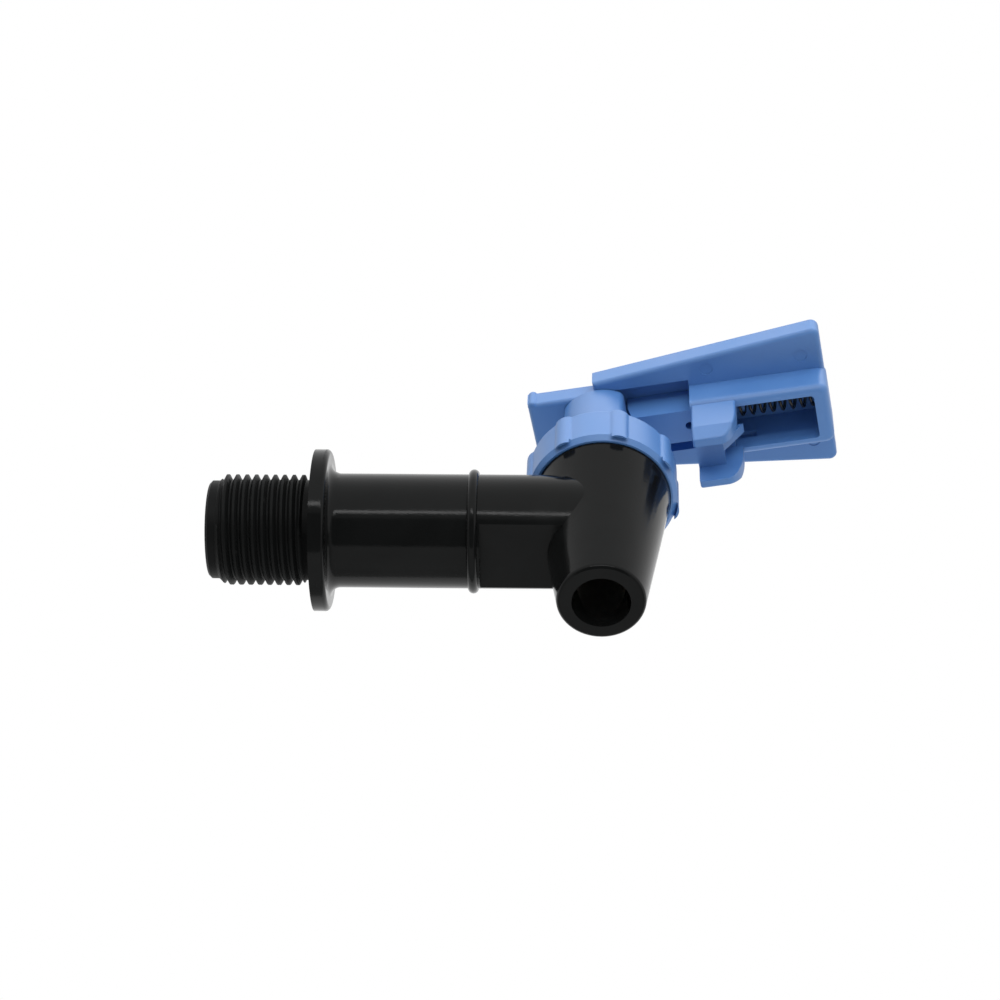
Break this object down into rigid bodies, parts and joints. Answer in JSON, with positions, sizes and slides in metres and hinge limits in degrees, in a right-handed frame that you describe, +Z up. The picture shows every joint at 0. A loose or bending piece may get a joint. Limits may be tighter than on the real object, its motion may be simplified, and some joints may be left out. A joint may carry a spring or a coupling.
{
  "type": "cooler faucet",
  "caption": "Self-closing cooler faucet: threaded shank with flange, down-turned tapered spout, lobed bonnet and a thumb lever with a sprung safety trigger.",
  "frame": {"origin": "on the shank axis at the flange's seat face", "axes": "+X along the shank towards the spout, +Z up, the spout points down"},
  "size_m": [0.1224, 0.0385, 0.0639],
  "materials": {
    "black_plastic": "gloss",
    "blue_plastic": "satin",
    "white_plastic": "satin",
    "silicone": "matte",
    "steel": "bright wire"
  },
  "bodies": {
    "body": {"faucet_body": "black_plastic", "bonnet": "blue_plastic", "bonnet_seal": "silicone", "closing_spring": "steel"},
    "lever": {"lever": "blue_plastic", "stem_pin": "steel", "trigger_spring": "steel"},
    "stem": {"valve_stem": "white_plastic", "seat_cup": "silicone"},
    "trigger": {"trigger": "blue_plastic"}
  },
  "joints": [
    {"name": "lever_press", "type": "hinge", "parent": "body", "child": "lever", "pos_m": [0.06017, -0.0009, 0.0366], "axis": [0.1736, 0.9848, 0], "range_deg": [0, 10], "stiffness_Nm_per_rad": 0.2, "springref_deg": -17.19},
    {"name": "stem_lift", "type": "slide", "parent": "body", "child": "stem", "axis": [0, 0, 1], "range_m": [0, 0.001], "deforming": ["closing_spring"]},
    {"name": "trigger_pull", "type": "slide", "parent": "lever", "child": "trigger", "axis": [0.9848, -0.1736, 0], "range_m": [0, 0.004], "stiffness_N_per_m": 300, "springref_m": -0.004, "deforming": ["trigger_spring"]}
  ],
  "couplings": [
    {"joint": "stem_lift", "follows": "lever_press", "m_per_rad": 0.0050344}
  ]
}
